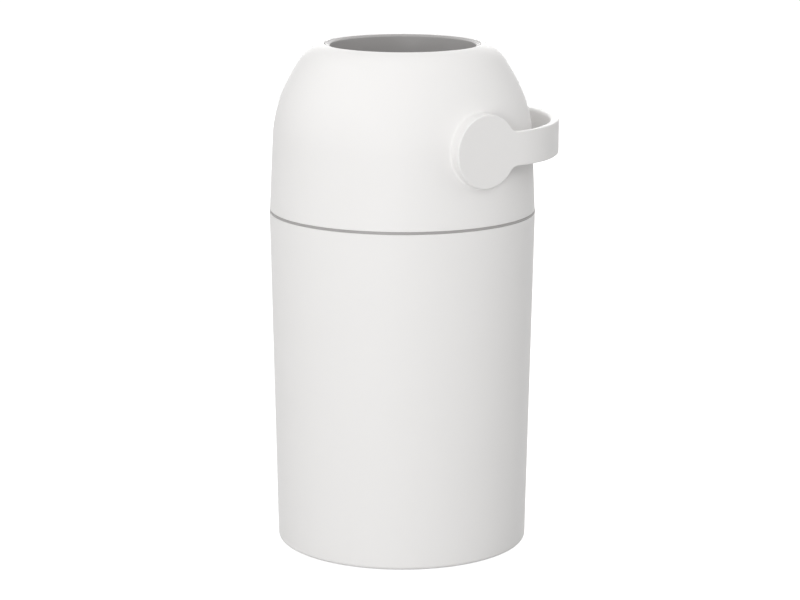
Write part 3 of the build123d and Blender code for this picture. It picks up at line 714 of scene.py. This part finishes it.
def handle_outline():
    """Upper edge of the handle's side view as (station, height, normal), front to back."""
    root_reach = math.sqrt((DISC_RADIUS + STRAP_ROOT) ** 2 - (STRAP_HALF + STRAP_ROOT) ** 2)
    root_angle = math.atan2(STRAP_HALF + STRAP_ROOT, root_reach)
    edge = []
    for k in range(DISC_STEPS + 1):
        normal = spoke(math.pi + (root_angle - math.pi) * k / DISC_STEPS)
        spot = normal * DISC_RADIUS
        edge.append(((spot.x, 0, 0), spot.y, normal))
    for k in range(1, STRAP_ROOT_STEPS + 1):
        normal = spoke(root_angle + (math.pi / 2 - root_angle) * k / STRAP_ROOT_STEPS)
        spot = Vector((root_reach, STRAP_HALF + STRAP_ROOT)) - normal * STRAP_ROOT
        edge.append(((spot.x, 0, 0), spot.y, normal))
    shares = [(k / STRAP_CORNER_STEPS, 0) for k in range(STRAP_CORNER_STEPS + 1)]
    shares += [(1, k / STRAP_BACK_STEPS) for k in range(1, STRAP_BACK_STEPS + 1)]
    edge += [((STRAP_STRAIGHT, *share), STRAP_HALF, Vector((0, 1))) for share in shares]
    return edge


def handle_loop():
    """The handle's section once round, as (inset, depth, on the inner face, level).

    Inset and depth are those of a round of 1. The level runs from -1, the lower edge, to 1.
    """
    rim = []
    for k in range(HANDLE_ROUND_STEPS + 1):
        angle = math.pi / 2 * k / HANDLE_ROUND_STEPS
        rim.append((1 - math.sin(angle), 1 - math.cos(angle)))
    levels = [row / HANDLE_FACE_ROWS for row in range(1 - HANDLE_FACE_ROWS, HANDLE_FACE_ROWS)]
    loop = [(*rim[0], False, level) for level in levels]
    loop += [(*spot, False, 1) for spot in rim]
    loop += [(*spot, True, 1) for spot in reversed(rim)]
    loop += [(*rim[0], True, level) for level in reversed(levels)]
    loop += [(*spot, True, -1) for spot in rim]
    loop += [(*spot, False, -1) for spot in reversed(rim)]
    return loop


def handle_point(station, height, normal, spot):
    """Point of the handle where a station of its outline meets a spot of its section."""
    inset, depth, is_inner, level = spot
    edge_round = HANDLE_ROUND
    if is_inner:
        edge_round = HANDLE_INNER_ROUND + (STRAP_INNER_ROUND - HANDLE_INNER_ROUND) * station[1]
    inset *= edge_round
    depth *= edge_round
    moved = (station[0] - inset * normal.x, *station[1:])
    outer = strap_face(HANDLE_SIDE, HANDLE_REACH, STRAP_CORNER, moved)
    inner_reach = HANDLE_REACH - STRAP_END_THICKNESS
    inner = strap_face(HANDLE_INSIDE, inner_reach, STRAP_INNER_CORNER, moved)
    along = (inner - outer).normalized()
    plan = inner - along * depth if is_inner else outer + along * depth
    return (*plan, PIVOT + level * (height - inset * normal.y))


def handle_shape():
    """Both discs and the strap in one piece, every outer edge rounded."""
    bm = bmesh.new()
    loop = handle_loop()
    columns = [
        [bm.verts.new(handle_point(station, height, normal, spot)) for spot in loop]
        for station, height, normal in handle_outline()
    ]
    for first, second in zip(columns, columns[1:]):
        join_rings(bm, first, second)
    bmesh.ops.remove_doubles(bm, verts=bm.verts, dist=WELD)
    everything = bm.verts[:] + bm.edges[:] + bm.faces[:]
    bmesh.ops.mirror(bm, geom=everything, axis="X", merge_dist=WELD)
    return make_object("flip_handle", bm)


handle = handle_shape()
place(handle, "rotor", "white_shell", "handle")

# ---- CAD nodes that stay -----------------------------------------------------------------------
for subpart in frame["record"]["subparts"]:
    node = frame["nodes"][subpart["node"]]
    node.data.materials.clear()
    node.data.materials.append(finishes[subpart["material_slot"]])
    node.data.shade_smooth()
    node.data.set_sharp_from_angle(angle=NODE_SHARP)


# ---- Floor, light and camera -------------------------------------------------------------------
def seen_directly(tree):
    """Output that is 1 for camera, glossy and transmission rays and 0 for the others."""
    path = tree.nodes.new("ShaderNodeLightPath")
    total = path.outputs["Is Camera Ray"]
    for kind in ("Is Glossy Ray", "Is Transmission Ray"):
        larger = tree.nodes.new("ShaderNodeMath")
        larger.operation = "MAXIMUM"
        tree.links.new(total, larger.inputs[0])
        tree.links.new(path.outputs[kind], larger.inputs[1])
        total = larger.outputs[0]
    return total


def make_floor():
    """Large pale floor that keeps the object's shadow."""
    bm = bmesh.new()
    bmesh.ops.create_grid(bm, x_segments=FLOOR_CELLS, y_segments=FLOOR_CELLS, size=FLOOR_HALF)
    mesh = bpy.data.meshes.new("floor")
    bm.to_mesh(mesh)
    bm.free()
    floor = bpy.data.objects.new("floor", mesh)
    bpy.context.scene.collection.objects.link(floor)
    material = bpy.data.materials.new("floor")
    material.use_nodes = True
    tree = material.node_tree
    tree.nodes.clear()
    matt = tree.nodes.new("ShaderNodeBsdfDiffuse")
    matt.inputs["Color"].default_value = (*FLOOR_COLOUR, 1)
    glow = tree.nodes.new("ShaderNodeEmission")
    scale = tree.nodes.new("ShaderNodeMath")
    scale.operation = "MULTIPLY"
    scale.inputs[1].default_value = FLOOR_GLOW
    tree.links.new(seen_directly(tree), scale.inputs[0])
    tree.links.new(scale.outputs[0], glow.inputs["Strength"])
    both = tree.nodes.new("ShaderNodeAddShader")
    tree.links.new(matt.outputs[0], both.inputs[0])
    tree.links.new(glow.outputs[0], both.inputs[1])
    output = tree.nodes.new("ShaderNodeOutputMaterial")
    tree.links.new(both.outputs[0], output.inputs["Surface"])
    mesh.materials.append(material)


def make_world():
    """White surroundings: full white where seen, a softer white as light."""
    world = bpy.data.worlds.new("studio")
    bpy.context.scene.world = world
    world.use_nodes = True
    tree = world.node_tree
    background = tree.nodes["Background"]
    background.inputs["Color"].default_value = (1, 1, 1, 1)
    level = tree.nodes.new("ShaderNodeMapRange")
    level.inputs["To Min"].default_value = AMBIENT
    level.inputs["To Max"].default_value = 1.0
    tree.links.new(seen_directly(tree), level.inputs["Value"])
    tree.links.new(level.outputs["Result"], background.inputs["Strength"])


def stand(thing, azimuth, distance, height, aim_height):
    """Put a lamp or the camera at a compass angle, aimed at a height on the object's axis."""
    angle = math.radians(azimuth)
    bpy.context.scene.collection.objects.link(thing)
    thing.location = (distance * math.sin(angle), -distance * math.cos(angle), height)
    sight = Vector((0, 0, aim_height)) - thing.location
    thing.rotation_euler = sight.to_track_quat("-Z", "Y").to_euler()


def make_lamps():
    """Soft round lamps."""
    for name, azimuth, distance, height, aim_height, size, power in LAMPS:
        light = bpy.data.lights.new(name, "AREA")
        light.shape = "DISK"
        light.size = size
        light.energy = power
        lamp = bpy.data.objects.new(name, light)
        stand(lamp, azimuth, distance, height, aim_height)


def make_camera():
    """Camera at the photograph's viewing angle."""
    data = bpy.data.cameras.new("camera")
    data.sensor_width = CAMERA_SENSOR
    data.lens = CAMERA_LENS
    data.shift_x = CAMERA_SHIFT
    camera = bpy.data.objects.new("camera", data)
    stand(camera, CAMERA_AZIMUTH, CAMERA_DISTANCE, CAMERA_HEIGHT, CAMERA_AIM)
    camera.rotation_euler.rotate_axis("Z", CAMERA_ROLL)
    bpy.context.scene.camera = camera


make_floor()
make_world()
make_lamps()
make_camera()
bpy.context.scene.view_settings.view_transform = "Standard"
